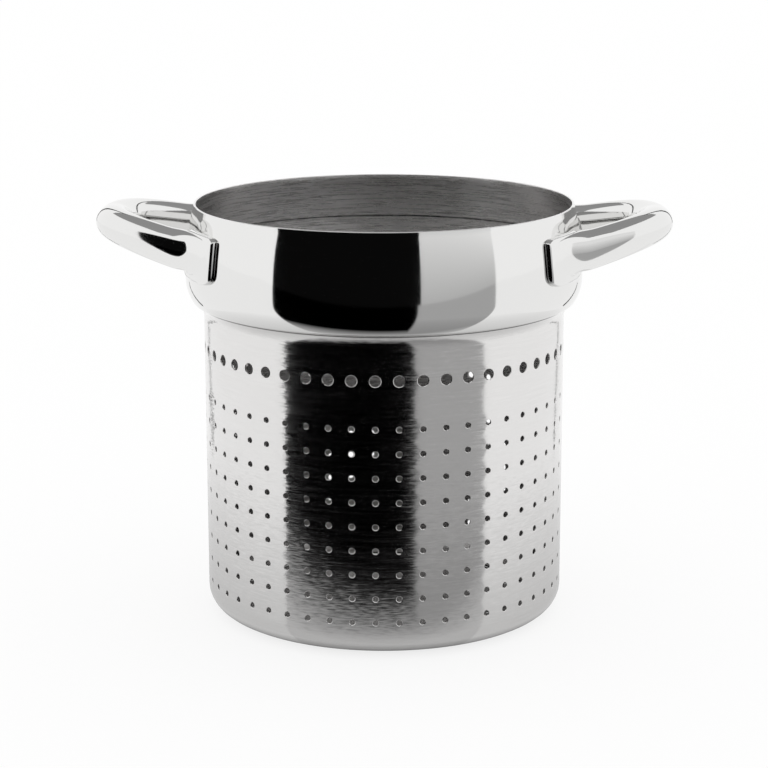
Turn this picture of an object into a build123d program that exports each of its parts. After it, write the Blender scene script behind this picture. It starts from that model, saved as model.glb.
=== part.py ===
from build123d import *
from math import asin, atan2, cos, degrees, hypot, sin, sqrt
import os

os.makedirs("parts", exist_ok=True)

# Strainer insert of a pasta pot, in millimetres, Z up. The origin is the middle of the
# underside of the base. The two handles lie along the X axis.

# Perforated basket, drawn from one sheet
overall_height = 219.5
basket_diameter = 190.0
basket_sheet = 1.0
base_edge_radius = 12.0
basket_lip_drop = 24.0  # below the rim
basket_lip_rounding = 0.3

# Collar ring: a barrel-shaped band lapped over the flared top of the basket
belly_overhang = 9.4  # past the basket's wall
belly_drop = 38.5  # below the rim
rim_inset = 4.9  # inside the belly
shoulder_radius = 22.0
shoulder_fillet = 10.0
collar_sheet = 1.2
collar_foot_drop = 13.6  # below the belly
collar_foot_rounding = 0.8
rim_rounding = 0.4
lap_gap = 0.05

# Perforation: one row of large holes above a square grid of small ones
column_count = 50
column_bearing = 2.56  # degrees, from the X axis to the first column
large_hole_diameter = 5.8
large_row_drop = 75.0  # below the rim
large_row_gap = 24.6  # above the top row of small holes
small_hole_diameter = 3.0
small_row_count = 9
lowest_row_height = 19.4
base_ring_pitch = 12.0
base_ring_count = 6
holes_per_ring_step = 6

# Cast loop handles. The arm's centre line is a curve with four control points, given as
# overhang past the belly, spread from the middle of the handle, and drop below the rim.
handle_overhang = 47.1
arm_root_depth = 20.4  # inside the belly
arm_root_spread = 48.5
arm_root_drop = 23.5
arm_lean_overhang = 13.6
arm_lean_spread = 37.6
arm_lean_drop = 16.0
grip_pull_spread = 25.0
grip_pull_drop = 9.0
grip_drop = 10.8
arm_width = 12.0
arm_height = 21.6
grip_width = 20.6
grip_height = 18.4
section_shares = (0.0, 0.14, 0.28, 0.42, 0.56, 0.7, 0.85, 1.0)  # of the arm's length

# Foot of an arm: a curved pad that hugs the collar, a margin larger than the arm's root
foot_width = 38.07  # round the collar
foot_inner_margin = 19.67  # from the pad's near side to the middle of the arm's root
foot_upper_margin = 2.9
foot_lower_margin = 0.7
foot_thickness = 3.2
foot_corner_radius = 5.0
foot_edge_rounding = 1.8
root_fillet = 8.0
weld_gap = 0.05

# How far a cutting tool runs past what it cuts
overrun = 5.0

basket_radius = basket_diameter / 2
belly_radius = basket_radius + belly_overhang
rim_radius = belly_radius - rim_inset
belly_height = overall_height - belly_drop
basket_lip_height = overall_height - basket_lip_drop
large_row_height = overall_height - large_row_drop
small_row_pitch = (large_row_height - large_row_gap - lowest_row_height) / (small_row_count - 1)

# Sections are drawn in the XZ plane as (radius, height). The outside of the collar is an
# arc above the belly and an arc below it. Every other face of the two sheets runs
# parallel to them, at some depth inside, or outside where the depth is negative.
barrel_radius = (belly_drop**2 + rim_inset**2) / (2 * rim_inset)
barrel_centre = belly_radius - barrel_radius
shoulder_centre = belly_radius - shoulder_radius

# The inside of the basket lies this deep under the outside of the collar
basket_outer_depth = collar_sheet + lap_gap
basket_inner_depth = basket_outer_depth + basket_sheet

# The concave fillet that leads from the basket's wall into its flare
fillet_offset = basket_radius + shoulder_fillet - shoulder_centre
fillet_reach = shoulder_radius - basket_outer_depth + shoulder_fillet
fillet_drop = sqrt(fillet_reach**2 - fillet_offset**2)
fillet_height = belly_height - fillet_drop
flare_angle = atan2(fillet_drop, fillet_offset)
collar_foot_angle = asin(collar_foot_drop / shoulder_radius)

# The root of a handle's arm, the middle of the grip, and the sides of the pad
arm_root_height = overall_height - arm_root_drop
grip_reach = belly_radius + handle_overhang - grip_width / 2
foot_bearing = degrees((arm_root_spread - foot_inner_margin) / belly_radius)
foot_sweep = degrees(foot_width / belly_radius)
foot_top_height = arm_root_height + arm_height / 2 + foot_upper_margin
foot_bottom_height = arm_root_height - arm_height / 2 - foot_lower_margin


def barrel_point(depth, height):
    """A point above the belly, at a depth inside the outer face of the collar."""
    radius = barrel_radius - depth
    return (barrel_centre + sqrt(radius**2 - (height - belly_height) ** 2), height)


def shoulder_point(depth, angle):
    """A point below the belly, by its angle round the shoulder in radians."""
    radius = shoulder_radius - depth
    return (shoulder_centre + radius * cos(angle), belly_height - radius * sin(angle))


# Perforated basket
with BuildPart() as perforated_basket:
    with BuildSketch(Plane.XZ) as basket_section:
        with BuildLine():
            flat_radius = basket_radius - base_edge_radius
            inner_radius = basket_radius - basket_sheet
            base_out = (flat_radius, 0)
            base_in = (flat_radius, basket_sheet)
            wall_foot_out = (basket_radius, base_edge_radius)
            wall_foot_in = (inner_radius, base_edge_radius)
            wall_top_out = (basket_radius, fillet_height)
            wall_top_in = (inner_radius, fillet_height)
            flare_out = shoulder_point(basket_outer_depth, flare_angle)
            flare_in = shoulder_point(basket_inner_depth, flare_angle)
            belly_out = shoulder_point(basket_outer_depth, 0)
            belly_in = shoulder_point(basket_inner_depth, 0)
            lip_out = barrel_point(basket_outer_depth, basket_lip_height)
            lip_in = barrel_point(basket_inner_depth, basket_lip_height)
            Line((0, 0), base_out)
            RadiusArc(base_out, wall_foot_out, -base_edge_radius)
            Line(wall_foot_out, wall_top_out)
            RadiusArc(wall_top_out, flare_out, shoulder_fillet)
            RadiusArc(flare_out, belly_out, -(shoulder_radius - basket_outer_depth))
            RadiusArc(belly_out, lip_out, -(barrel_radius - basket_outer_depth))
            Line(lip_out, lip_in)
            RadiusArc(lip_in, belly_in, barrel_radius - basket_inner_depth)
            RadiusArc(belly_in, flare_in, shoulder_radius - basket_inner_depth)
            RadiusArc(flare_in, wall_top_in, -(shoulder_fillet + basket_sheet))
            Line(wall_top_in, wall_foot_in)
            RadiusArc(wall_foot_in, base_in, base_edge_radius - basket_sheet)
            Line(base_in, (0, basket_sheet))
            Line((0, basket_sheet), (0, 0))
        make_face()
        fillet(basket_section.vertices().group_by(Axis.Y)[-1], radius=basket_lip_rounding)
    revolve(axis=Axis.Z)
    wall_middle = basket_radius - basket_sheet / 2
    drill_length = basket_sheet + 2 * overrun
    with Locations((0, 0, large_row_height)):
        with PolarLocations(wall_middle, column_count, start_angle=column_bearing):
            Cylinder(large_hole_diameter / 2, drill_length, rotation=(0, 90, 0), mode=Mode.SUBTRACT)
    row_heights = [lowest_row_height + row * small_row_pitch for row in range(small_row_count)]
    with Locations([(0, 0, height) for height in row_heights]):
        with PolarLocations(wall_middle, column_count, start_angle=column_bearing):
            Cylinder(small_hole_diameter / 2, drill_length, rotation=(0, 90, 0), mode=Mode.SUBTRACT)
    with BuildSketch(Plane.XY.offset(-overrun)):
        Circle(small_hole_diameter / 2)
        for ring in range(1, base_ring_count + 1):
            with PolarLocations(ring * base_ring_pitch, ring * holes_per_ring_step):
                Circle(small_hole_diameter / 2)
    extrude(amount=drill_length, mode=Mode.SUBTRACT)
perforated_basket.part.label = "perforated_basket"
export_step(perforated_basket.part, "parts/perforated_basket.step")

# Collar ring
with BuildPart() as rim_collar:
    with BuildSketch(Plane.XZ) as collar_section:
        with BuildLine():
            rim_out = barrel_point(0, overall_height)
            rim_in = barrel_point(collar_sheet, overall_height)
            waist_out = shoulder_point(0, 0)
            waist_in = shoulder_point(collar_sheet, 0)
            foot_out = shoulder_point(0, collar_foot_angle)
            foot_in = shoulder_point(collar_sheet, collar_foot_angle)
            RadiusArc(rim_out, waist_out, barrel_radius)
            RadiusArc(waist_out, foot_out, shoulder_radius)
            Line(foot_out, foot_in)
            RadiusArc(foot_in, waist_in, -(shoulder_radius - collar_sheet))
            RadiusArc(waist_in, rim_in, -(barrel_radius - collar_sheet))
            Line(rim_in, rim_out)
        make_face()
        fillet(collar_section.vertices().group_by(Axis.Y)[-1], radius=rim_rounding)
        foot_corner = collar_section.vertices().sort_by_distance((*foot_out, 0))[0]
        fillet(foot_corner, radius=collar_foot_rounding)
    revolve(axis=Axis.Z)
rim_collar.part.label = "rim_collar"
export_step(rim_collar.part, "parts/rim_collar.step")

# What the feet of the handles are cut back to: all that lies inside the collar's face
with BuildPart() as collar_envelope:
    with BuildSketch(Plane.XZ):
        with BuildLine():
            top = barrel_point(-weld_gap, overall_height)
            waist = shoulder_point(-weld_gap, 0)
            bottom = shoulder_point(-weld_gap, collar_foot_angle)
            RadiusArc(top, waist, barrel_radius + weld_gap)
            RadiusArc(waist, bottom, shoulder_radius + weld_gap)
            Line(bottom, (0, bottom[1]))
            Line((0, bottom[1]), (0, top[1]))
            Line((0, top[1]), top)
        make_face()
    revolve(axis=Axis.Z)

# Right handle: one arm and its foot, then the other by symmetry
with BuildPart() as right_handle:
    with BuildSketch(Plane.XZ.rotated((0, 0, -foot_bearing))):
        with BuildLine():
            foot_top = barrel_point(-foot_thickness, foot_top_height)
            foot_bottom = barrel_point(-foot_thickness, foot_bottom_height)
            back_radius = rim_radius - overrun
            RadiusArc(foot_top, foot_bottom, barrel_radius + foot_thickness)
            Line(foot_bottom, (back_radius, foot_bottom[1]))
            Line((back_radius, foot_bottom[1]), (back_radius, foot_top[1]))
            Line((back_radius, foot_top[1]), foot_top)
        make_face()
    revolve(axis=Axis.Z, revolution_arc=-foot_sweep)
    foot_corners = right_handle.edges().filter_by(GeomType.LINE).filter_by(Plane.XY)
    fillet(foot_corners, radius=foot_corner_radius)
    foot_face = right_handle.faces().filter_by(GeomType.REVOLUTION)[0]
    fillet(foot_face.edges(), radius=foot_edge_rounding)
    with BuildLine(mode=Mode.PRIVATE) as centre_line:
        Bezier(
            (belly_radius - arm_root_depth, -arm_root_spread, arm_root_height),
            (belly_radius + arm_lean_overhang, -arm_lean_spread, overall_height - arm_lean_drop),
            (grip_reach, -grip_pull_spread, overall_height - grip_pull_drop),
            (grip_reach, 0, overall_height - grip_drop),
        )
    for share in section_shares:
        along = centre_line.line % share
        blend = share * share * (3 - 2 * share)
        width = arm_width + (grip_width - arm_width) * blend * blend
        height = arm_height + (grip_height - arm_height) * blend
        across = Plane(centre_line.line @ share, x_dir=(along.Y, -along.X, 0), z_dir=(along.X, along.Y, 0))
        with BuildSketch(across):
            Ellipse(width / 2, height / 2)
    loft()
    root_edges = right_handle.edges(Select.NEW).filter_by(
        lambda edge: hypot(edge.center().X, edge.center().Y) > rim_radius
    )
    fillet(root_edges, radius=root_fillet)
    mirror(about=Plane.XZ)
    add(collar_envelope.part, mode=Mode.SUBTRACT)
right_handle.part.label = "right_handle"
export_step(right_handle.part, "parts/right_handle.step")

# Left handle
with BuildPart() as left_handle:
    add(right_handle.part.mirror(Plane.YZ))
left_handle.part.label = "left_handle"
export_step(left_handle.part, "parts/left_handle.step")
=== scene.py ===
# %% [markdown]
# # A strainer insert for a pasta pot
#
# This lesson dresses the strainer insert of a pasta pot: a deep perforated basket of satin
# steel, a polished collar lapped over its flared top, and two polished cast loop handles.
# The imported model is loaded first. It is the frame that every piece here is fitted to, so
# nothing is moved or resized, and the part of that frame that each piece replaces is hidden.

# %% Load the frame
from math import asin, atan2, copysign, cos, hypot, pi, radians, sin, sqrt, tan

import bmesh
import bpy
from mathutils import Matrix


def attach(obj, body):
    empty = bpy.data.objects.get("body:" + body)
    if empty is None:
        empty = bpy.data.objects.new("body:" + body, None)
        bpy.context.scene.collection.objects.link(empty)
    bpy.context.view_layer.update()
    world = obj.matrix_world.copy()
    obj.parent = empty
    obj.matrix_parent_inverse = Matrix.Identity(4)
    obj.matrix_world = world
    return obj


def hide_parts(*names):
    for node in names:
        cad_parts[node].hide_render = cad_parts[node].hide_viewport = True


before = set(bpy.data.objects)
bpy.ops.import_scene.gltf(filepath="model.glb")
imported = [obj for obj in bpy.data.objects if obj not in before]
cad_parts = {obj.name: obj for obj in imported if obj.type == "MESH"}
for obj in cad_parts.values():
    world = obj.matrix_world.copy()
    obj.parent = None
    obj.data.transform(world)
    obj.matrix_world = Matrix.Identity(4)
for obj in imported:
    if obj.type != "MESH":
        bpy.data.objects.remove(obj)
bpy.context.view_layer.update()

print("frame nodes:", sorted(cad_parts))

# %% [markdown]
# ## Sizes
#
# The construction's own sizes are repeated here in metres. A name per size keeps the later
# cells readable, and a change is made in one place. Heights are taken from the rim down, as
# the construction takes them, because the collar, the handles and the row of large holes
# all belong to the top of the basket.

# %% Sizes of the basket and the collar
MM = 0.001

OVERALL_HEIGHT = 219.5 * MM
BASKET_RADIUS = 95 * MM
SHEET = 1.0 * MM
BASE_EDGE_RADIUS = 12 * MM
LIP_HEIGHT = OVERALL_HEIGHT - 24 * MM

BELLY_RADIUS = BASKET_RADIUS + 9.4 * MM
BELLY_DROP = 38.5 * MM
BELLY_HEIGHT = OVERALL_HEIGHT - BELLY_DROP
RIM_INSET = 4.9 * MM
SHOULDER_RADIUS = 22 * MM
SHOULDER_FILLET = 10 * MM
COLLAR_SHEET = 1.2 * MM
COLLAR_FOOT_DROP = 13.6 * MM
RIM_ROUNDING = 0.4 * MM
LAP_GAP = 0.05 * MM

BARREL_RADIUS = (BELLY_DROP**2 + RIM_INSET**2) / (2 * RIM_INSET)
BARREL_CENTRE = BELLY_RADIUS - BARREL_RADIUS
SHOULDER_CENTRE = BELLY_RADIUS - SHOULDER_RADIUS
BASKET_DEPTH = COLLAR_SHEET + LAP_GAP
FILLET_OFFSET = BASKET_RADIUS + SHOULDER_FILLET - SHOULDER_CENTRE
FILLET_REACH = SHOULDER_RADIUS - BASKET_DEPTH + SHOULDER_FILLET
FILLET_DROP = sqrt(FILLET_REACH**2 - FILLET_OFFSET**2)
FILLET_HEIGHT = BELLY_HEIGHT - FILLET_DROP
FLARE_ANGLE = atan2(FILLET_DROP, FILLET_OFFSET)
COLLAR_FOOT_ANGLE = asin(COLLAR_FOOT_DROP / SHOULDER_RADIUS)
print("wall ends and flare starts at", round(FILLET_HEIGHT / MM, 2), "mm")


# %% Points on the two sheets
def barrel_point(depth, height):
    """Radius and height of a point above the belly, at a depth inside the collar's face."""
    radius = BARREL_RADIUS - depth
    return (BARREL_CENTRE + sqrt(radius**2 - (height - BELLY_HEIGHT) ** 2), height)


def shoulder_point(depth, angle):
    """Radius and height of a point below the belly, by its angle round the shoulder."""
    radius = SHOULDER_RADIUS - depth
    return (SHOULDER_CENTRE + radius * cos(angle), BELLY_HEIGHT - radius * sin(angle))


def evenly(start, end, steps):
    """The values from start to end, both included, in equal steps."""
    return [start + (end - start) * step / steps for step in range(steps + 1)]


# %% [markdown]
# ## Helpers for edit mode
#
# Blender's operators act on whatever is selected. Loading the frame leaves its nodes
# selected, so every step starts by deselecting all, and vertices are then chosen by a test
# on their place, which is what a person does with a box or circle select.

# %% Selecting and finishing
NEAR = 0.01 * MM
FINE = 0.001 * MM


def only(piece):
    """Make one object the selected and active one, in object mode."""
    if bpy.context.object and bpy.context.object.mode != "OBJECT":
        bpy.ops.object.mode_set(mode="OBJECT")
    bpy.ops.object.select_all(action="DESELECT")
    piece.select_set(True)
    bpy.context.view_layer.objects.active = piece


def edit(piece):
    """Enter edit mode on one object."""
    only(piece)
    bpy.ops.object.mode_set(mode="EDIT")


def choose(test):
    """In edit mode, select the vertices whose place passes a test, with what lies between them."""
    mesh = bmesh.from_edit_mesh(bpy.context.object.data)
    for item in (*mesh.faces, *mesh.edges, *mesh.verts):
        item.select = False
    for vertex in mesh.verts:
        vertex.select = test(vertex.co)
    mesh.select_flush(True)
    bmesh.update_edit_mesh(bpy.context.object.data)


def merge_all(distance=NEAR):
    """In edit mode, merge what coincides and turn every face outwards."""
    bpy.ops.mesh.select_all(action="SELECT")
    bpy.ops.mesh.remove_doubles(threshold=distance)
    bpy.ops.mesh.normals_make_consistent(inside=False)


def apply_modifier(piece, kind, **settings):
    """Add a modifier with its settings and apply it."""
    only(piece)
    modifier = piece.modifiers.new(kind.lower(), kind)
    for name, value in settings.items():
        setattr(modifier, name, value)
    bpy.ops.object.modifier_apply(modifier=modifier.name)


def join(*pieces):
    """Join several objects into the first one."""
    only(pieces[0])
    for piece in pieces[1:]:
        piece.select_set(True)
    bpy.ops.object.join()
    return pieces[0]


def settle(piece):
    """Put an object's place, and its size, into its mesh."""
    only(piece)
    bpy.ops.object.transform_apply(location=True, rotation=True, scale=True)


# %% [markdown]
# ## The perforated wall
#
# The real wall is a flat blank that is punched, rolled and welded, or a drawn cup that is
# punched on a turntable. The first way suits a mesh: one cell of the flat blank is a square
# with a round hole. The rest is copies, and a bend closes the strip into a tube. Cutting
# 500 holes out of a finished tube would leave long thin faces that shade badly.
#
# A cell has a square edge of 16 vertices and a round one of 16, bridged. The hole's lip is
# a narrow ring that turns in, as a punch leaves it. It catches the light as a thin rim.

# %% Cell of the flat blank
COLUMNS = 50
COLUMN_BEARING = radians(2.56)
SIDE_EDGES = 4
HOLE_EDGES = 4 * SIDE_EDGES
LARGE_HOLE_RADIUS = 2.9 * MM
SMALL_HOLE_RADIUS = 1.5 * MM
LIP_WIDTH = 0.22 * MM
LIP_DEPTH = 0.16 * MM
LARGE_ROW_HEIGHT = OVERALL_HEIGHT - 75 * MM
LARGE_ROW_GAP = 24.6 * MM
LOWEST_ROW_HEIGHT = 19.4 * MM
SMALL_ROWS = 9
ROW_PITCH = (LARGE_ROW_HEIGHT - LARGE_ROW_GAP - LOWEST_ROW_HEIGHT) / (SMALL_ROWS - 1)
COLUMN_PITCH = 2 * pi * BASKET_RADIUS / COLUMNS
UPRIGHT = (pi / 2, 0, 0)


def punched_cell(name, hole_radius, height):
    """A square of the flat blank, standing in the XZ plane, with one punched hole."""
    centre = (0, 0, height)
    bpy.ops.object.select_all(action="DESELECT")
    bpy.ops.mesh.primitive_plane_add(size=1, location=centre, rotation=UPRIGHT)
    cell = bpy.context.object
    cell.name = name
    cell.scale = (COLUMN_PITCH, ROW_PITCH, 1)
    settle(cell)
    edit(cell)
    bpy.ops.mesh.select_all(action="SELECT")
    bpy.ops.mesh.delete(type="ONLY_FACE")
    bpy.ops.mesh.select_all(action="SELECT")
    bpy.ops.mesh.subdivide(number_cuts=SIDE_EDGES - 1)
    bpy.ops.mesh.primitive_circle_add(
        vertices=HOLE_EDGES, radius=hole_radius + LIP_WIDTH, location=centre, rotation=UPRIGHT
    )
    bpy.ops.mesh.select_all(action="SELECT")
    bpy.ops.mesh.bridge_edge_loops()
    choose(lambda place: hypot(place.x, place.z - height) < hole_radius + 2 * LIP_WIDTH)
    bpy.ops.mesh.extrude_region_move(TRANSFORM_OT_translate={"value": (0, LIP_DEPTH, 0)})
    share = hole_radius / (hole_radius + LIP_WIDTH)
    bpy.ops.transform.resize(value=(share, 1, share), center_override=centre)
    bpy.ops.object.mode_set(mode="OBJECT")
    return cell


small_cells = punched_cell("perforated_basket_satin", SMALL_HOLE_RADIUS, LOWEST_ROW_HEIGHT)
apply_modifier(
    small_cells,
    "ARRAY",
    count=SMALL_ROWS,
    use_relative_offset=False,
    use_constant_offset=True,
    constant_offset_displace=(0, 0, ROW_PITCH),
    use_merge_vertices=True,
    merge_threshold=NEAR,
)
large_cell = punched_cell("large_cell", LARGE_HOLE_RADIUS, LARGE_ROW_HEIGHT)
print("faces in a small cell column:", len(small_cells.data.polygons))

# %% [markdown]
# The blank stretch between the small rows and the large one is an extrusion of the top edge
# of the small cells, and the last millimetres under the flare extrude the large cell. The
# column is then repeated side by side, and a bend through a full turn closes the strip. The
# bend's centre lies one radius behind the strip, so the strip is moved there.

# %% Column, strip and tube
column = small_cells
edit(column)
top_of_small = LOWEST_ROW_HEIGHT + (SMALL_ROWS - 0.5) * ROW_PITCH
foot_of_large = LARGE_ROW_HEIGHT - ROW_PITCH / 2
choose(lambda place: place.z > top_of_small - NEAR)
bpy.ops.mesh.extrude_region_move(TRANSFORM_OT_translate={"value": (0, 0, foot_of_large - top_of_small)})
edit(large_cell)
top_of_large = LARGE_ROW_HEIGHT + ROW_PITCH / 2
choose(lambda place: place.z > top_of_large - NEAR)
bpy.ops.mesh.extrude_region_move(TRANSFORM_OT_translate={"value": (0, 0, FILLET_HEIGHT - top_of_large)})
basket = join(column, large_cell)
edit(basket)
merge_all()
apply_modifier(
    basket,
    "ARRAY",
    count=COLUMNS,
    use_relative_offset=False,
    use_constant_offset=True,
    constant_offset_displace=(COLUMN_PITCH, 0, 0),
    use_merge_vertices=True,
    merge_threshold=NEAR,
)
basket.location.x = -COLUMN_PITCH * (COLUMNS - 1) / 2
settle(basket)
apply_modifier(basket, "SIMPLE_DEFORM", deform_method="BEND", deform_axis="Z", angle=2 * pi)
basket.location.y = -BASKET_RADIUS
settle(basket)
edit(basket)
merge_all()
wall_radii = [hypot(vertex.co.x, vertex.co.y) for vertex in basket.data.vertices]
print("wall radius from", round(min(wall_radii) / MM, 3), "to", round(max(wall_radii) / MM, 3), "mm")


# %% [markdown]
# ## Base edge, flare and lip
#
# A drawn cup has a round edge between wall and base. The wall's lower edge loop is carried
# along that round edge, one extrusion and one resize per station, and its upper loop along
# the flare that the collar is lapped over. Each loop keeps the wall's 200 vertices, so there
# is no seam between the tube and what it flows into.

# %% Carry a loop along a profile
def carry_loop(profile):
    """In edit mode, extrude the selected loop from each (radius, height) to the next."""
    for (radius, height), (next_radius, next_height) in zip(profile, profile[1:]):
        rise = next_height - height
        bpy.ops.mesh.extrude_region_move(TRANSFORM_OT_translate={"value": (0, 0, rise)})
        share = next_radius / radius
        bpy.ops.transform.resize(value=(share, share, 1), center_override=(0, 0, next_height))


BASE_FLAT_RADIUS = BASKET_RADIUS - BASE_EDGE_RADIUS
PLATE_INSET = 3 * MM
PLATE_RADIUS = BASE_FLAT_RADIUS - PLATE_INSET
EDGE_STEPS = 8
FLARE_STEPS = 10
base_profile = [
    (BASE_FLAT_RADIUS + BASE_EDGE_RADIUS * cos(angle), BASE_EDGE_RADIUS * (1 - sin(angle)))
    for angle in evenly(0, pi / 2, EDGE_STEPS)
]
base_profile.append((PLATE_RADIUS, 0))
flare_profile = [
    (
        BASKET_RADIUS + SHOULDER_FILLET * (1 - cos(angle)),
        FILLET_HEIGHT + SHOULDER_FILLET * sin(angle),
    )
    for angle in evenly(0, FLARE_ANGLE, FLARE_STEPS)
]
flare_profile += [shoulder_point(BASKET_DEPTH, angle) for angle in evenly(FLARE_ANGLE, 0, FLARE_STEPS)[1:]]
lap_heights = evenly(BELLY_HEIGHT, LIP_HEIGHT, FLARE_STEPS // 2)[1:]
flare_profile += [barrel_point(BASKET_DEPTH, height) for height in lap_heights]

edit(basket)
choose(lambda place: place.z < LOWEST_ROW_HEIGHT - ROW_PITCH / 2 + NEAR)
carry_loop(base_profile)
choose(lambda place: place.z > FILLET_HEIGHT - NEAR)
carry_loop(flare_profile)
merge_all()
apply_modifier(basket, "SOLIDIFY", thickness=SHEET, offset=-1, use_even_offset=True)
print("basket faces with both sides of the sheet:", len(basket.data.polygons))

# %% [markdown]
# ## The perforated base
#
# The photograph doesn't show the base. Such baskets drain through it too, so it has the
# small holes in rings of six, twelve, eighteen and so on. It is flat, so here holes are cut
# with a boolean: a flat face shades the same however it is divided. Each cutter is a little
# wider at its ends, which leaves a chamfer round every hole.

# %% Cut the base plate and join it
BASE_RINGS = 6
BASE_RING_PITCH = 12 * MM
HOLES_PER_RING_STEP = 6
PLATE_EDGES = COLUMNS * SIDE_EDGES
BASKET_CREASE = radians(30)
CUTTER_END_RADIUS = SMALL_HOLE_RADIUS + 2 * LIP_WIDTH
CUTTER_RADII = (CUTTER_END_RADIUS, SMALL_HOLE_RADIUS, SMALL_HOLE_RADIUS, CUTTER_END_RADIUS)
CUTTER_HEIGHTS = (-LIP_DEPTH, LIP_DEPTH, SHEET - LIP_DEPTH, SHEET + LIP_DEPTH)

bpy.ops.object.select_all(action="DESELECT")
bpy.ops.mesh.primitive_circle_add(
    vertices=HOLE_EDGES, radius=CUTTER_RADII[0], location=(0, 0, CUTTER_HEIGHTS[0])
)
cutter = bpy.context.object
settle(cutter)
edit(cutter)
bpy.ops.mesh.select_all(action="SELECT")
carry_loop(list(zip(CUTTER_RADII, CUTTER_HEIGHTS)))
bpy.ops.mesh.edge_face_add()
choose(lambda place: place.z < 0)
bpy.ops.mesh.edge_face_add()
merge_all()
bpy.ops.object.mode_set(mode="OBJECT")
hole_places = [
    (ring * BASE_RING_PITCH, 2 * pi * index / (ring * HOLES_PER_RING_STEP))
    for ring in range(1, BASE_RINGS + 1)
    for index in range(ring * HOLES_PER_RING_STEP)
]
cutters = [cutter]
for reach, bearing in hole_places:
    copy = cutter.copy()
    copy.data = cutter.data.copy()
    copy.location = (reach * cos(bearing), reach * sin(bearing), 0)
    bpy.context.collection.objects.link(copy)
    cutters.append(copy)
cutter = join(*cutters)
bpy.ops.object.select_all(action="DESELECT")
bpy.ops.mesh.primitive_cylinder_add(
    vertices=PLATE_EDGES, radius=PLATE_RADIUS, depth=SHEET, location=(0, 0, SHEET / 2)
)
plate = bpy.context.object
settle(plate)
apply_modifier(plate, "BOOLEAN", operation="DIFFERENCE", solver="EXACT", object=cutter)
bpy.data.objects.remove(cutter)
basket = join(basket, plate)
edit(basket)
choose(lambda place: abs(hypot(place.x, place.y) - PLATE_RADIUS) < NEAR)
bpy.ops.mesh.delete(type="ONLY_FACE")
merge_all()
bpy.ops.object.mode_set(mode="OBJECT")
basket.rotation_euler.z = COLUMN_BEARING
settle(basket)
only(basket)
bpy.ops.object.shade_smooth_by_angle(angle=BASKET_CREASE)
triangles = sum(len(face.vertices) - 2 for face in basket.data.polygons)
print("basket:", len(basket.data.polygons), "faces,", triangles, "triangles")


# %% [markdown]
# ## The collar
#
# The collar is one band of sheet, spun over a former: a barrel shape above the belly and a
# tight shoulder below it. Its foot curls in and is ground flush with the basket's flare, so
# only a thin line shows there; its dark tone is painted shade in the basket's finish. The
# lathe's way is the mesh's way: its section is drawn by extruding a point from station to
# station and then spun round the axis.

# %% Draw the section and spin it
SPIN_STEPS = 256
BARREL_STEPS = 16
SHOULDER_STEPS = 10
CORNER_STEPS = 6
CURL_ANGLE = radians(33)
CURL_LEAD = 0.6
GROUND_EDGE = 0.2 * MM
COLLAR_CREASE = radians(35)


def spun(name, stations):
    """A closed section of (radius, height) stations, spun round the Z axis."""
    bpy.ops.object.select_all(action="DESELECT")
    radius, height = stations[0]
    bpy.ops.mesh.primitive_plane_add(size=MM, location=(radius, 0, height))
    piece = bpy.context.object
    piece.name = name
    settle(piece)
    edit(piece)
    bpy.ops.mesh.select_all(action="SELECT")
    bpy.ops.mesh.merge(type="CENTER")
    for (radius, height), (next_radius, next_height) in zip(stations, stations[1:] + stations[:1]):
        step = (next_radius - radius, 0, next_height - height)
        bpy.ops.mesh.extrude_region_move(TRANSFORM_OT_translate={"value": step})
    bpy.ops.mesh.select_all(action="SELECT")
    bpy.ops.mesh.remove_doubles(threshold=FINE)
    bpy.ops.mesh.spin(steps=SPIN_STEPS, angle=2 * pi, center=(0, 0, 0), axis=(0, 0, 1))
    merge_all(FINE)
    bpy.ops.object.mode_set(mode="OBJECT")
    return piece


def rounded_end(centre, radius, start, end):
    """Stations round a corner, by angles from the outward horizontal."""
    return [
        (centre[0] + radius * cos(angle), centre[1] + radius * sin(angle))
        for angle in evenly(start, end, CORNER_STEPS)
    ]


rim_out = barrel_point(0, OVERALL_HEIGHT - RIM_ROUNDING)
rim_in = barrel_point(COLLAR_SHEET, OVERALL_HEIGHT - RIM_ROUNDING)
curl_start = shoulder_point(0, CURL_ANGLE)
curl_end = shoulder_point(COLLAR_SHEET - GROUND_EDGE, COLLAR_FOOT_ANGLE)
lead_drop = CURL_LEAD * (curl_start[1] - curl_end[1])
curl_lead = (curl_start[0] - lead_drop * tan(CURL_ANGLE), curl_start[1] - lead_drop)
collar_stations = [
    tuple(
        (1 - share) ** 2 * end + 2 * share * (1 - share) * lead + share**2 * start
        for end, lead, start in zip(curl_end, curl_lead, curl_start)
    )
    for share in evenly(0, 1, CORNER_STEPS)
]
collar_stations += [shoulder_point(0, angle) for angle in evenly(CURL_ANGLE, 0, SHOULDER_STEPS)[1:]]
outer_heights = evenly(BELLY_HEIGHT, rim_out[1], BARREL_STEPS)[1:-1]
collar_stations += [barrel_point(0, height) for height in outer_heights]
collar_stations += rounded_end((rim_out[0] - RIM_ROUNDING, rim_out[1]), RIM_ROUNDING, 0, pi / 2)
collar_stations += rounded_end((rim_in[0] + RIM_ROUNDING, rim_in[1]), RIM_ROUNDING, pi / 2, pi)
inner_heights = evenly(rim_in[1], BELLY_HEIGHT, BARREL_STEPS)[1:]
collar_stations += [barrel_point(COLLAR_SHEET, height) for height in inner_heights]
foot_angles = evenly(0, COLLAR_FOOT_ANGLE, SHOULDER_STEPS)[1:]
collar_stations += [shoulder_point(COLLAR_SHEET, angle) for angle in foot_angles]
collar = spun("rim_collar_polished", collar_stations)
only(collar)
bpy.ops.object.shade_smooth_by_angle(angle=COLLAR_CREASE)
print("collar:", len(collar.data.polygons), "faces")

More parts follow.
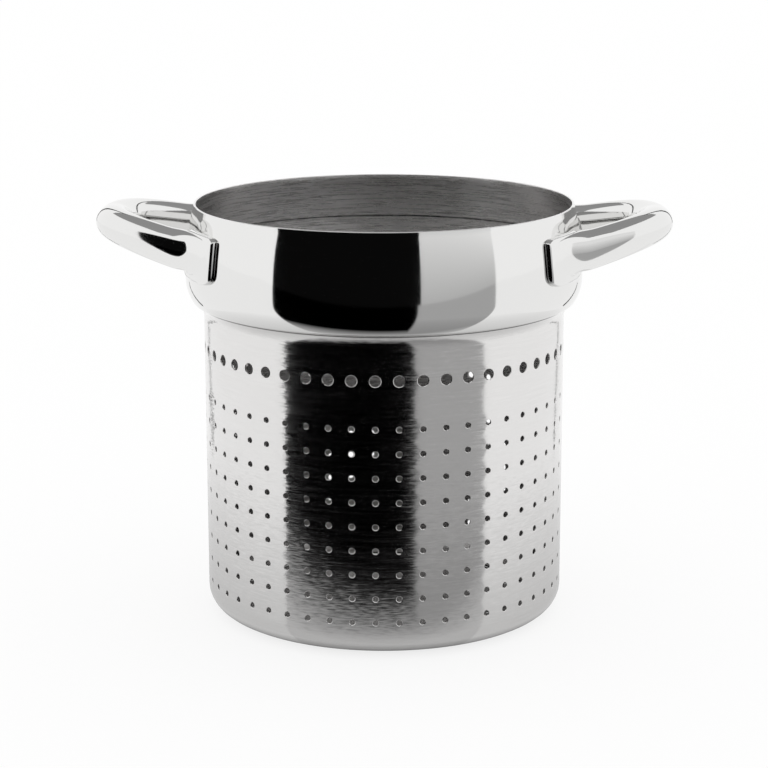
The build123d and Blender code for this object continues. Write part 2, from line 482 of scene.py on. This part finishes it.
# %% [markdown]
# ## The handles
#
# Each handle is one solid casting: a loop whose two arms end in feet that are curved like
# the collar they are welded to. A cast shape has no flat faces and no hard edges, and a
# mirror finish shows every flaw in its flow of faces. So the handle starts as a straight bar
# of rings with 24 sides, as a smith would start, and each ring is then carried to its
# station: the foot's back, its rounded edge, its face, the fillet, and the arm along its
# curve. Half a handle is enough, a mirror gives the rest, and a subdivision smooths it.

# %% Sizes of a handle
ARM_LINE = [
    (BELLY_RADIUS - 20.4 * MM, -48.5 * MM, OVERALL_HEIGHT - 23.5 * MM),
    (BELLY_RADIUS + 13.6 * MM, -37.6 * MM, OVERALL_HEIGHT - 16.0 * MM),
    (BELLY_RADIUS + 36.8 * MM, -25.0 * MM, OVERALL_HEIGHT - 9.0 * MM),
    (BELLY_RADIUS + 36.8 * MM, 0, OVERALL_HEIGHT - 10.8 * MM),
]
ARM_SECTION = (12.0 * MM, 21.6 * MM)
GRIP_SECTION = (20.6 * MM, 18.4 * MM)
BAR_SIDES = 24
BAR_TURNS = [2 * pi * side / BAR_SIDES for side in range(BAR_SIDES)]
ARM_STEPS = 14
FILLET_STEPS = 5
FILLET_START = 0.235
FILLET_SLANT = 0.045
FILLET_SPREAD = 0.7
FOOT_MIDDLE = (-radians(26.25), OVERALL_HEIGHT - 22.4 * MM)
FOOT_HALF = (19.0 * MM, 12.6 * MM)
FOOT_FULLNESS = (9.0, 4.6)
FOOT_THICKNESS = 3.2 * MM
FOOT_EDGE = 1.8 * MM
FOOT_BACK_BEVEL = (0.1 * MM, 0.2 * MM)
FOOT_EDGE_SHARE = 0.3
FILLET_MARGINS = (0.4 * MM, 0.6 * MM)
WELD_GAP = 0.05 * MM
HANDLE_SMOOTHING = 2


# %% Places along the arm and on the foot
def arm_point(share):
    """A point of the arm's centre line, which is one cubic curve from foot to grip."""
    rest = 1 - share
    weights = (rest**3, 3 * rest**2 * share, 3 * rest * share**2, share**3)
    return [sum(weight * place[axis] for weight, place in zip(weights, ARM_LINE)) for axis in range(3)]


def arm_heading(share):
    """The level direction of the centre line, as the cosine and sine of its bearing."""
    rest = 1 - share
    weights = (rest**2, 2 * rest * share, share**2)
    steps = [[b - a for a, b in zip(start, end)] for start, end in zip(ARM_LINE, ARM_LINE[1:])]
    along = [sum(weight * step[axis] for weight, step in zip(weights, steps)) for axis in range(2)]
    length = hypot(*along)
    return along[0] / length, along[1] / length


def arm_place(share, turn):
    """A place on the arm's oval section, at a share of its length and a turn round the section."""
    x, y, z = arm_point(share)
    east, north = arm_heading(share)
    blend = share * share * (3 - 2 * share)
    half_width = (ARM_SECTION[0] + (GRIP_SECTION[0] - ARM_SECTION[0]) * blend**2) / 2
    half_height = (ARM_SECTION[1] + (GRIP_SECTION[1] - ARM_SECTION[1]) * blend) / 2
    aside = half_width * cos(turn)
    return (x + north * aside, y - east * aside, z + half_height * sin(turn))


def arm_start(turn):
    """Where the fillet leaves the arm: nearer to the foot on the outer side than inside the loop."""
    return FILLET_START - FILLET_SLANT * cos(turn)


def arm_ring(progress):
    """A ring of the arm, from the slanted end of the fillet to the upright middle of the grip."""
    return [arm_place(arm_start(turn) + (1 - arm_start(turn)) * progress, turn) for turn in BAR_TURNS]


def foot_place(aside, height, offset):
    """A place over the collar's face: arc length from the foot's middle, height, and distance."""
    bearing = FOOT_MIDDLE[0] - aside / BELLY_RADIUS
    radius = barrel_point(-offset, height)[0]
    return (radius * cos(bearing), radius * sin(bearing), height)


def foot_outline(inset):
    """The foot's outline, a rounded square with tighter corners above, inset by a width.

    It is given as arc lengths and heights.
    """
    outline = []
    for turn in BAR_TURNS:
        power = 2 / FOOT_FULLNESS[0 if sin(turn) > 0 else 1]
        pair = zip(FOOT_HALF, (cos(turn), sin(turn)))
        outline.append([copysign((half - inset) * abs(value) ** power, value) for half, value in pair])
    return outline


def foot_ring(inset, offset):
    """One ring round the foot."""
    return [foot_place(aside, FOOT_MIDDLE[1] + rise, offset) for aside, rise in foot_outline(inset)]


# %% The rings of the root, where the arm flows into its foot
def foot_hit(place, heading):
    """Where a line back along the arm meets the foot's face, as arc length and height."""
    x, y, z = place
    radius = barrel_point(-FOOT_THICKNESS, z)[0]
    along = x * heading[0] + y * heading[1]
    back = along - sqrt(along**2 - (x * x + y * y) + radius**2)
    bearing = atan2(y - back * heading[1], x - back * heading[0])
    return (FOOT_MIDDLE[0] - bearing) * BELLY_RADIUS, z - FOOT_MIDDLE[1]


def root_rings():
    """Rings from the foot's face, up the fillet, to the arm."""
    limit = FOOT_HALF[1] - FOOT_EDGE - FILLET_MARGINS[1]
    rings = [[] for _ in range(FILLET_STEPS + 1)]
    for turn, (edge_aside, edge_rise) in zip(BAR_TURNS, foot_outline(FOOT_EDGE + FILLET_MARGINS[0])):
        end = arm_place(arm_start(turn), turn)
        aside, rise = foot_hit(end, arm_heading(arm_start(turn)))
        foot_aside = aside + (edge_aside - aside) * FILLET_SPREAD
        foot_rise = max(-limit, min(limit, rise + (edge_rise - rise) * FILLET_SPREAD))
        start = foot_place(foot_aside, FOOT_MIDDLE[1] + foot_rise, FOOT_THICKNESS)
        corner = foot_place(aside, FOOT_MIDDLE[1] + rise, FOOT_THICKNESS)
        for ring, share in zip(rings, evenly(0, 1, FILLET_STEPS)):
            weights = ((1 - share) ** 2, 2 * share * (1 - share), share**2)
            mixed = list(zip(weights, (start, corner, end)))
            ring.append([sum(weight * point[axis] for weight, point in mixed) for axis in range(3)])
    return rings


# %% Forge the bar into half a handle
handle_rings = [
    foot_ring(FOOT_EDGE, WELD_GAP),
    foot_ring(FOOT_BACK_BEVEL[0], WELD_GAP),
    foot_ring(0, WELD_GAP + FOOT_BACK_BEVEL[1]),
    foot_ring(0, FOOT_THICKNESS - FOOT_EDGE),
    foot_ring(FOOT_EDGE_SHARE * FOOT_EDGE, FOOT_THICKNESS - FOOT_EDGE_SHARE * FOOT_EDGE),
    foot_ring(FOOT_EDGE, FOOT_THICKNESS),
]
handle_rings += root_rings()
handle_rings += [arm_ring(progress) for progress in evenly(0, 1, ARM_STEPS)[1:]]
RING_PITCH = 5 * MM


def forged_handle(name):
    """A handle from a straight bar whose rings are carried to their stations."""
    bpy.ops.object.select_all(action="DESELECT")
    bpy.ops.mesh.primitive_circle_add(vertices=BAR_SIDES, radius=ARM_SECTION[0])
    handle = bpy.context.object
    handle.name = name
    edit(handle)
    bpy.ops.mesh.select_all(action="SELECT")
    bpy.ops.mesh.edge_face_add()
    for _ in handle_rings[1:]:
        bpy.ops.mesh.extrude_region_move(TRANSFORM_OT_translate={"value": (0, 0, RING_PITCH)})
    bpy.ops.mesh.delete(type="ONLY_FACE")
    bpy.ops.object.mode_set(mode="OBJECT")
    for vertex in handle.data.vertices:
        station = round(vertex.co.z / RING_PITCH)
        side = round(atan2(vertex.co.y, vertex.co.x) * BAR_SIDES / (2 * pi)) % BAR_SIDES
        vertex.co = handle_rings[station][side]
    apply_modifier(
        handle, "MIRROR", use_axis=(False, True, False), use_mirror_merge=True, merge_threshold=NEAR
    )
    edit(handle)
    merge_all(FINE)
    apply_modifier(handle, "SUBSURF", levels=HANDLE_SMOOTHING, render_levels=HANDLE_SMOOTHING)
    only(handle)
    bpy.ops.object.shade_smooth()
    return handle


right_handle = forged_handle("right_handle_polished")
left_handle = right_handle.copy()
left_handle.data = right_handle.data.copy()
left_handle.name = "left_handle_polished"
bpy.context.collection.objects.link(left_handle)
left_handle.scale.x = -1
settle(left_handle)
edit(left_handle)
merge_all(FINE)
bpy.ops.object.mode_set(mode="OBJECT")
for handle in (left_handle, right_handle):
    tip = max(abs(vertex.co.x) for vertex in handle.data.vertices)
    print(handle.name, "is", round(tip / MM, 2), "mm from the axis at its tip")


# %% [markdown]
# ## Finishes
#
# Every piece is the same metal and differs in how it was finished, so one helper makes the
# metal and each finish adds its own detail. The basket is brushed round its axis: fine
# scratches run level, which smears reflections up and down. That is anisotropy, with its
# direction taken round the Z axis. Fine streaks lean the surface a little, up or down more
# than sideways, so that the edge of a reflection frays as it does on brushed steel. The
# collar and handles are buffed to a mirror, with the slight waviness and haze of buffing.
#
# The inside is rougher. Its tint is darkened towards the base as painted shade, because the
# inside in the photograph is darker there than the light in this studio leaves it.

# %% Node helpers
def new_material(name):
    """A material with an empty node tree but for its output."""
    material = bpy.data.materials.new(name)
    material.use_nodes = True
    material.node_tree.nodes.clear()
    return material


def add_node(material, kind, inputs=None, **settings):
    """A node with its settings and the values or links of its inputs."""
    node = material.node_tree.nodes.new(kind)
    for name, value in settings.items():
        setattr(node, name, value)
    for name, value in (inputs or {}).items():
        socket = node.inputs[name]
        if isinstance(value, bpy.types.NodeSocket):
            material.node_tree.links.new(value, socket)
        else:
            socket.default_value = value
    return node


def object_noise(material, scale, stretch=(1, 1, 1), detail=2, roughness=0.5):
    """Noise on the object's own coordinates, stretched along its axes."""
    place = add_node(material, "ShaderNodeTexCoord")
    mapping = add_node(material, "ShaderNodeMapping", {"Vector": place.outputs["Object"], "Scale": stretch})
    noise = add_node(
        material,
        "ShaderNodeTexNoise",
        {"Vector": mapping.outputs["Vector"], "Scale": scale, "Detail": detail, "Roughness": roughness},
    )
    return noise.outputs["Fac"]


def remap(material, value, low, high, from_low=0.3, from_high=0.7):
    """Spread a range of a value, which for noise is its middle, over low to high."""
    node = add_node(
        material,
        "ShaderNodeMapRange",
        {"Value": value, "From Min": from_low, "From Max": from_high, "To Min": low, "To Max": high},
    )
    return node.outputs["Result"]


def combine(material, operation, *values):
    """The result of one step of arithmetic on numbers."""
    return add_node(material, "ShaderNodeMath", dict(enumerate(values)), operation=operation).outputs["Value"]


def combine_vectors(material, operation, *values):
    """The result of one step of arithmetic on vectors."""
    inputs = dict(enumerate(values))
    return add_node(material, "ShaderNodeVectorMath", inputs, operation=operation).outputs["Vector"]


def blend(material, factor, first, second):
    """One colour at factor 0, another at factor 1."""
    inputs = {"Factor": factor, "A": first, "B": second}
    return add_node(material, "ShaderNodeMix", inputs, data_type="RGBA").outputs["Result"]


def object_place(material):
    """The object's own coordinates, whole and split."""
    place = add_node(material, "ShaderNodeTexCoord").outputs["Object"]
    return place, add_node(material, "ShaderNodeSeparateXYZ", {"Vector": place}).outputs


def finish_metal(material, **inputs):
    """A metal surface shader on the material's output."""
    values = {"Metallic": 1.0}
    values.update({name.replace("_", " "): value for name, value in inputs.items()})
    shader = add_node(material, "ShaderNodeBsdfPrincipled", values)
    add_node(material, "ShaderNodeOutputMaterial", {"Surface": shader.outputs["BSDF"]})
    return shader


# %% Satin steel, brushed round the axis
# The ranges of four are low and high, and then the noise values that they answer to
SATIN_TINTS = ((0.765, 0.757, 0.75, 1), (0.8, 0.792, 0.785, 1))
SATIN_ROUGHNESS = (0.1, 0.2)
INSIDE_TINTS = ((0.74, 0.73, 0.725, 1), (0.9, 0.89, 0.885, 1))
INSIDE_ROUGHNESS = (0.22, 0.34)
# Dark tint for painted shade: the thin seam lines, and the inside towards its base
PAINTED_SHADE_TINT = (0.12, 0.118, 0.115, 1)
SEAM_SHADE_LINE = (0.15 * MM, 0.45 * MM)
# Heights over which the inside's painted shade fades out, from the base upwards
PAINTED_SHADE_HEIGHTS = (0.03, LIP_HEIGHT - 0.03)
SCRATCH_STRETCH = (45, 45, 1400)
BAND_STRETCH = (14, 14, 300)
STREAK_STRETCH = (200, 200, 1400)
MARK_SCALE = 28.0
MARK_ROUGHNESS = (-0.01, 0.015, 0.45, 0.75)
STREAK_ROUGHNESS = (0, 0.07, 0.54, 0.7)
SATIN_SWAY = 0.01
SATIN_LIFT = 0.05
SATIN_RELIEF = 0.2
SATIN_DEPTH = 0.05 * MM
SATIN_STRETCH = 0.6
QUARTER_TURN = 0.25


def satin_steel(name, roughness, tints, seam_height, foot_painted_shade):
    """Steel brushed round the Z axis, with fine level scratches and a few handling marks."""
    material = new_material(name)
    scratches = object_noise(material, 1.0, stretch=SCRATCH_STRETCH, detail=3)
    bands = object_noise(material, 1.0, stretch=BAND_STRETCH, detail=2)
    streaks = object_noise(material, 1.0, stretch=STREAK_STRETCH, detail=2)
    marks = object_noise(material, MARK_SCALE, detail=4, roughness=0.6)
    height = object_place(material)[1]["Z"]

    tint = blend(material, remap(material, scratches, 0, 1), *tints)
    # Painted shade: the tint darkens towards the base by the share the caller gives (none outside)
    tint = blend(material, remap(material, height, foot_painted_shade, 0, *PAINTED_SHADE_HEIGHTS), tint, PAINTED_SHADE_TINT)
    # Painted shade: a thin dark line at the seam height, for the shaded gap where the sheets meet
    from_seam = combine(material, "ABSOLUTE", combine(material, "SUBTRACT", height, seam_height))
    tint = blend(material, remap(material, from_seam, 0, 1, *SEAM_SHADE_LINE), PAINTED_SHADE_TINT, tint)

    rough = remap(material, scratches, *roughness)
    for part in (remap(material, marks, *MARK_ROUGHNESS), remap(material, streaks, *STREAK_ROUGHNESS)):
        rough = combine(material, "ADD", rough, part)

    bump = add_node(
        material,
        "ShaderNodeBump",
        {
            "Height": combine(material, "ADD", scratches, bands),
            "Strength": SATIN_RELIEF,
            "Distance": SATIN_DEPTH,
        },
    )
    tangent = add_node(material, "ShaderNodeTangent", direction_type="RADIAL", axis="Z").outputs["Tangent"]
    sway = add_node(
        material,
        "ShaderNodeVectorMath",
        {0: tangent, "Scale": remap(material, streaks, -SATIN_SWAY, SATIN_SWAY)},
        operation="SCALE",
    )
    rise = remap(material, streaks, -SATIN_LIFT, SATIN_LIFT)
    lift = add_node(material, "ShaderNodeCombineXYZ", {"Z": rise})
    leant = combine_vectors(material, "ADD", sway.outputs["Vector"], bump.outputs["Normal"])
    leant = combine_vectors(material, "ADD", leant, lift.outputs["Vector"])
    finish_metal(
        material,
        Base_Color=tint,
        Roughness=rough,
        Anisotropic=SATIN_STRETCH,
        Anisotropic_Rotation=QUARTER_TURN,
        Tangent=tangent,
        Normal=combine_vectors(material, "NORMALIZE", leant),
    )
    return material


# %% Polished steel and polished casting
POLISHED_TINT = (0.82, 0.818, 0.81, 1)
COLLAR_HAZE, COLLAR_WAVINESS = 0.035, 0.05
CASTING_HAZE, CASTING_WAVINESS = 0.045, 0.08
PATCH_SCALE = 22.0
WAVE_SCALE = 30.0
WAVE_DEPTH = 0.2 * MM
HAZE_SPREAD = 2.2


def polished_steel(name, haze, waviness):
    """Buffed metal: a mirror with a little haze in patches and slight waviness."""
    material = new_material(name)
    patches = object_noise(material, PATCH_SCALE, detail=3, roughness=0.6)
    waves = object_noise(material, WAVE_SCALE, detail=1)
    relief = {"Height": waves, "Strength": waviness, "Distance": WAVE_DEPTH}
    bump = add_node(material, "ShaderNodeBump", relief)
    finish_metal(
        material,
        Base_Color=POLISHED_TINT,
        Roughness=remap(material, patches, haze, HAZE_SPREAD * haze),
        Normal=bump.outputs["Normal"],
    )
    return material


def dress(piece, material, node):
    """Give a piece its finish and its place in the frame."""
    piece.data.materials.clear()
    piece.data.materials.append(material)
    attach(piece, "root")
    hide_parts(node)


# The seam's height on the outside, where the painted shade line runs under the collar's foot
OUTER_SEAM_HEIGHT = BELLY_HEIGHT - COLLAR_FOOT_DROP
# How far the inside is darkened at its base: painted shade
INSIDE_PAINTED_SHADE = 0.45
UPWARD = 0.5
satin_outside = satin_steel("satin_steel", SATIN_ROUGHNESS, SATIN_TINTS, OUTER_SEAM_HEIGHT, 0)
satin_inside = satin_steel("satin_inside", INSIDE_ROUGHNESS, INSIDE_TINTS, LIP_HEIGHT, INSIDE_PAINTED_SHADE)
collar_finish = polished_steel("polished_steel", COLLAR_HAZE, COLLAR_WAVINESS)
casting_finish = polished_steel("polished_casting", CASTING_HAZE, CASTING_WAVINESS)
dress(basket, satin_outside, "perforated_basket")
dress(collar, collar_finish, "rim_collar")
for piece in (basket, collar):
    piece.data.materials.append(satin_inside)
    for face in piece.data.polygons:
        place = face.center
        floor_side = face.normal.z if hypot(place.x, place.y) < PLATE_RADIUS else 0
        outwards = face.normal.x * place.x + face.normal.y * place.y
        face.material_index = int(outwards < 0 or floor_side > UPWARD)
    inside_faces = sum(face.material_index for face in piece.data.polygons)
    print(piece.name, "faces with the inside finish:", inside_faces)
dress(left_handle, casting_finish, "left_handle")
dress(right_handle, casting_finish, "right_handle")

# %% [markdown]
# ## Floor, surroundings and light
#
# Polished metal looks like whatever stands round it. The photograph was taken in a white
# studio: a dark opening round the camera, a grey flat to its right, a dim ceiling, and the
# dark gaps beside the backdrop. Flat cards that only reflections see stand in for them, and
# the white world does the rest. The floor is a plain pale sheet that keeps the shadow.
#
# The table is a card too. A glossy table would mirror the opening and the flat in front of
# the pot, so their outlines are painted on it: straight lines from near the pot outwards.
# The pot's shadow is painted on it as well, darkest under the pot and fading outwards.

# %% Cards
CAMERA_BEARING = radians(1.6)
OPENING_DISTANCE = 1.7
OPENING_TOP = 1.56
OPENING_FOOT = -2.2
OPENING_BEARINGS = (radians(-64.5), radians(20))
FLAT_BEARINGS = (radians(20), radians(65))
FLAT_TONES = (0.32, 0.85)
FLAT_HEIGHTS = (-0.6, 1.0)
CEILING_PLACE = (0, 0.25, 1.9)
CEILING_SIZE = (3.4, 2.9)
CEILING_TONE = 0.3
DARK_TONE = 0.003
LEVEL = (0, 0, 0)
FACE_DOWN = (pi, 0, 0)


def emitter(name, colour):
    """A material that shows one tone, plain or made by other nodes."""
    material = new_material(name)
    light = add_node(material, "ShaderNodeEmission", {"Strength": 1.0})
    add_node(material, "ShaderNodeOutputMaterial", {"Surface": light.outputs["Emission"]})
    if callable(colour):
        material.node_tree.links.new(colour(material), light.inputs["Color"])
    else:
        light.inputs["Color"].default_value = (colour, colour, colour, 1)
    return material


def card(name, centre, size, rotation, material):
    """A flat card that only reflections see."""
    bpy.ops.object.select_all(action="DESELECT")
    bpy.ops.mesh.primitive_plane_add(size=1, location=centre, rotation=rotation)
    piece = bpy.context.object
    piece.name = name
    piece.scale = (*size, 1)
    settle(piece)
    piece.data.materials.append(material)
    piece.visible_camera = piece.visible_diffuse = piece.visible_shadow = False
    piece.visible_transmission = piece.visible_volume_scatter = False
    return piece


def front_card(name, left, right, material):
    """An upright card on the camera's side, between two bearings seen from the object."""
    start, end = OPENING_DISTANCE * tan(left), OPENING_DISTANCE * tan(right)
    centre = (
        (start + end) / 2 * cos(CAMERA_BEARING) + OPENING_DISTANCE * sin(CAMERA_BEARING),
        (start + end) / 2 * sin(CAMERA_BEARING) - OPENING_DISTANCE * cos(CAMERA_BEARING),
        (OPENING_FOOT + OPENING_TOP) / 2,
    )
    size = (end - start, OPENING_TOP - OPENING_FOOT)
    return card(name, centre, size, (pi / 2, 0, CAMERA_BEARING), material)


def falling_grey(material):
    """A grey that darkens towards the floor."""
    return remap(material, object_place(material)[1]["Z"], *FLAT_TONES, *FLAT_HEIGHTS)


dark_tone = emitter("dark_tone", DARK_TONE)
front_card("dark_opening", *OPENING_BEARINGS, dark_tone)
front_card("grey_flat", *FLAT_BEARINGS, emitter("grey_tone", falling_grey))
card("dim_ceiling", CEILING_PLACE, CEILING_SIZE, FACE_DOWN, emitter("ceiling_tone", CEILING_TONE))
print("opening, flat and ceiling stand round the pot")

# %% The glossy white table
TABLE_FRONT = -1.2
TABLE_REACH = 3.6
TABLE_HEIGHT = -0.3 * MM
EDGE_SOFTNESS = 4 * MM
OPENING_START = ((-47.2 * MM, -82.4 * MM), radians(-63.8))
FLAT_START = ((17.5 * MM, -93.4 * MM), radians(20.5))
FLAT_END = ((50.3 * MM, -80.6 * MM), radians(67.3))
# The three fades are the value at start and end, and then that start and end in metres
PAINTED_CONTACT_SHADOW = (0.05, 0.62, 0.08, 0.095)
PAINTED_POT_SHADOW = (0, 0.34, 0.112, 0.4)
FRONT_FADE = (0, 0.85, -0.195, -0.095)
MIRRORED_GREY = 0.42


def beyond(material, split, place, bearing, side):
    """1 to the right (side 1) or left (side -1) of a line from a place at a bearing, else 0."""
    east = combine(material, "SUBTRACT", split["X"], place[0])
    north = combine(material, "SUBTRACT", split["Y"], place[1])
    reach = combine(material, "ADD", east, combine(material, "MULTIPLY", north, tan(bearing)))
    return remap(material, reach, 0.5 - side / 2, 0.5 + side / 2, -EDGE_SOFTNESS, EDGE_SOFTNESS)


def table_tones(material):
    """White with a painted shadow under and round the pot, and the opening and flat as a painted reflection
    in front.
    """
    place, split = object_place(material)
    reach = add_node(material, "ShaderNodeVectorMath", {0: place}, operation="LENGTH").outputs["Value"]
    # Painted shadow: the white fades to dark under the pot and round its foot
    near = remap(material, reach, *PAINTED_CONTACT_SHADOW)
    white = combine(material, "ADD", near, remap(material, reach, *PAINTED_POT_SHADOW))
    # Painted reflection: the dark opening and the grey flat as a glossy table would mirror them
    shown = remap(material, split["Y"], *FRONT_FADE)
    for part in (
        combine(material, "MULTIPLY", beyond(material, split, *FLAT_START, 1), MIRRORED_GREY),
        beyond(material, split, *OPENING_START, -1),
        beyond(material, split, *FLAT_END, 1),
    ):
        shown = combine(material, "MAXIMUM", shown, part)
    return combine(material, "MULTIPLY", white, shown)


table_place = (0, (TABLE_REACH + TABLE_FRONT) / 2, TABLE_HEIGHT)
table_size = (2 * TABLE_REACH, TABLE_REACH - TABLE_FRONT)
card("table_top", table_place, table_size, LEVEL, emitter("table_tone", table_tones))
print("table in metres:", table_size)

# %% White bounce cards under the handles
BOUNCE_PLACE = (0.18, -0.035, 0.14)
BOUNCE_SIZE = (0.1, 0.1)
BOUNCE_TONE = 0.96
white_tone = emitter("white_tone", BOUNCE_TONE)
bounces = [
    card("bounce", (side * BOUNCE_PLACE[0], *BOUNCE_PLACE[1:]), BOUNCE_SIZE, LEVEL, white_tone)
    for side in (-1, 1)
]
print("bounce cards:", len(bounces))

# %% Dark gaps beside the backdrop and along the table's edges
GAP_DISTANCE = 1.7
GAP_BEARING = radians(153)
GAP_HEIGHT = 0.9
GAP_SIZE = (0.12, 3.0)
TABLE_GAP_PLACE = (0.434, 0.533, 0.2 * MM)
TABLE_GAP_SIZE = (0.02, 0.6)
TABLE_GAP_SLANT = radians(24)
gaps = []
for side in (-1, 1):
    bearing = side * GAP_BEARING
    centre = (GAP_DISTANCE * sin(bearing), -GAP_DISTANCE * cos(bearing), GAP_HEIGHT)
    gaps.append(card("backdrop_gap", centre, GAP_SIZE, (pi / 2, 0, bearing), dark_tone))
    centre = (side * TABLE_GAP_PLACE[0], *TABLE_GAP_PLACE[1:])
    gaps.append(card("table_gap", centre, TABLE_GAP_SIZE, (0, 0, -side * TABLE_GAP_SLANT), dark_tone))
print("dark gaps:", len(gaps))

# %% Floor and world
FLOOR_SIZE = 12.0
FLOOR_TINT = (0.99, 0.99, 0.99, 1)
FLOOR_GLOW = 0.8
FLOOR_HEIGHT = -0.4 * MM

bpy.ops.object.select_all(action="DESELECT")
bpy.ops.mesh.primitive_plane_add(size=FLOOR_SIZE, location=(0, 0, FLOOR_HEIGHT))
floor = bpy.context.object
floor.name = "floor"
floor_material = new_material("pale_floor")
floor_shade = add_node(floor_material, "ShaderNodeBsdfDiffuse", {"Color": FLOOR_TINT})
floor_glow = add_node(floor_material, "ShaderNodeEmission", {"Color": (1, 1, 1, 1), "Strength": 1.0})
ray = add_node(floor_material, "ShaderNodeLightPath")
glow_share = combine(floor_material, "MULTIPLY", ray.outputs["Is Camera Ray"], FLOOR_GLOW)
floor_mix = add_node(
    floor_material,
    "ShaderNodeMixShader",
    {0: glow_share, 1: floor_shade.outputs["BSDF"], 2: floor_glow.outputs["Emission"]},
)
add_node(floor_material, "ShaderNodeOutputMaterial", {"Surface": floor_mix.outputs["Shader"]})
floor.data.materials.append(floor_material)
floor.visible_glossy = False

world = bpy.data.worlds.new("white_studio")
bpy.context.scene.world = world
world.use_nodes = True
world.node_tree.nodes["Background"].inputs["Color"].default_value = (1, 1, 1, 1)
world.node_tree.nodes["Background"].inputs["Strength"].default_value = 1.0
print("floor in metres:", FLOOR_SIZE)

# %% [markdown]
# ## Camera
#
# The viewpoint was found by fitting a camera to the rim, the base and the rows of holes.

# %% Camera
CAMERA_DISTANCE = 1.206
CAMERA_HEIGHT = 0.4061
CAMERA_PITCH = 0.2322
CAMERA_ROLL = 0.0014
CAMERA_SIDESTEP = 0.35 * MM
CAMERA_LENS = 108.79
CAMERA_SENSOR = 36

camera_data = bpy.data.cameras.new("camera")
camera_data.lens = CAMERA_LENS
camera_data.sensor_width = CAMERA_SENSOR
camera = bpy.data.objects.new("camera", camera_data)
bpy.context.collection.objects.link(camera)
camera.location = (
    CAMERA_DISTANCE * sin(CAMERA_BEARING) + CAMERA_SIDESTEP * cos(CAMERA_BEARING),
    -CAMERA_DISTANCE * cos(CAMERA_BEARING) + CAMERA_SIDESTEP * sin(CAMERA_BEARING),
    CAMERA_HEIGHT,
)
camera.rotation_euler = (pi / 2 - CAMERA_PITCH, CAMERA_ROLL, CAMERA_BEARING)
bpy.context.scene.camera = camera
bpy.context.scene.view_settings.view_transform = "Standard"
print("camera at", [round(value, 3) for value in camera.location])
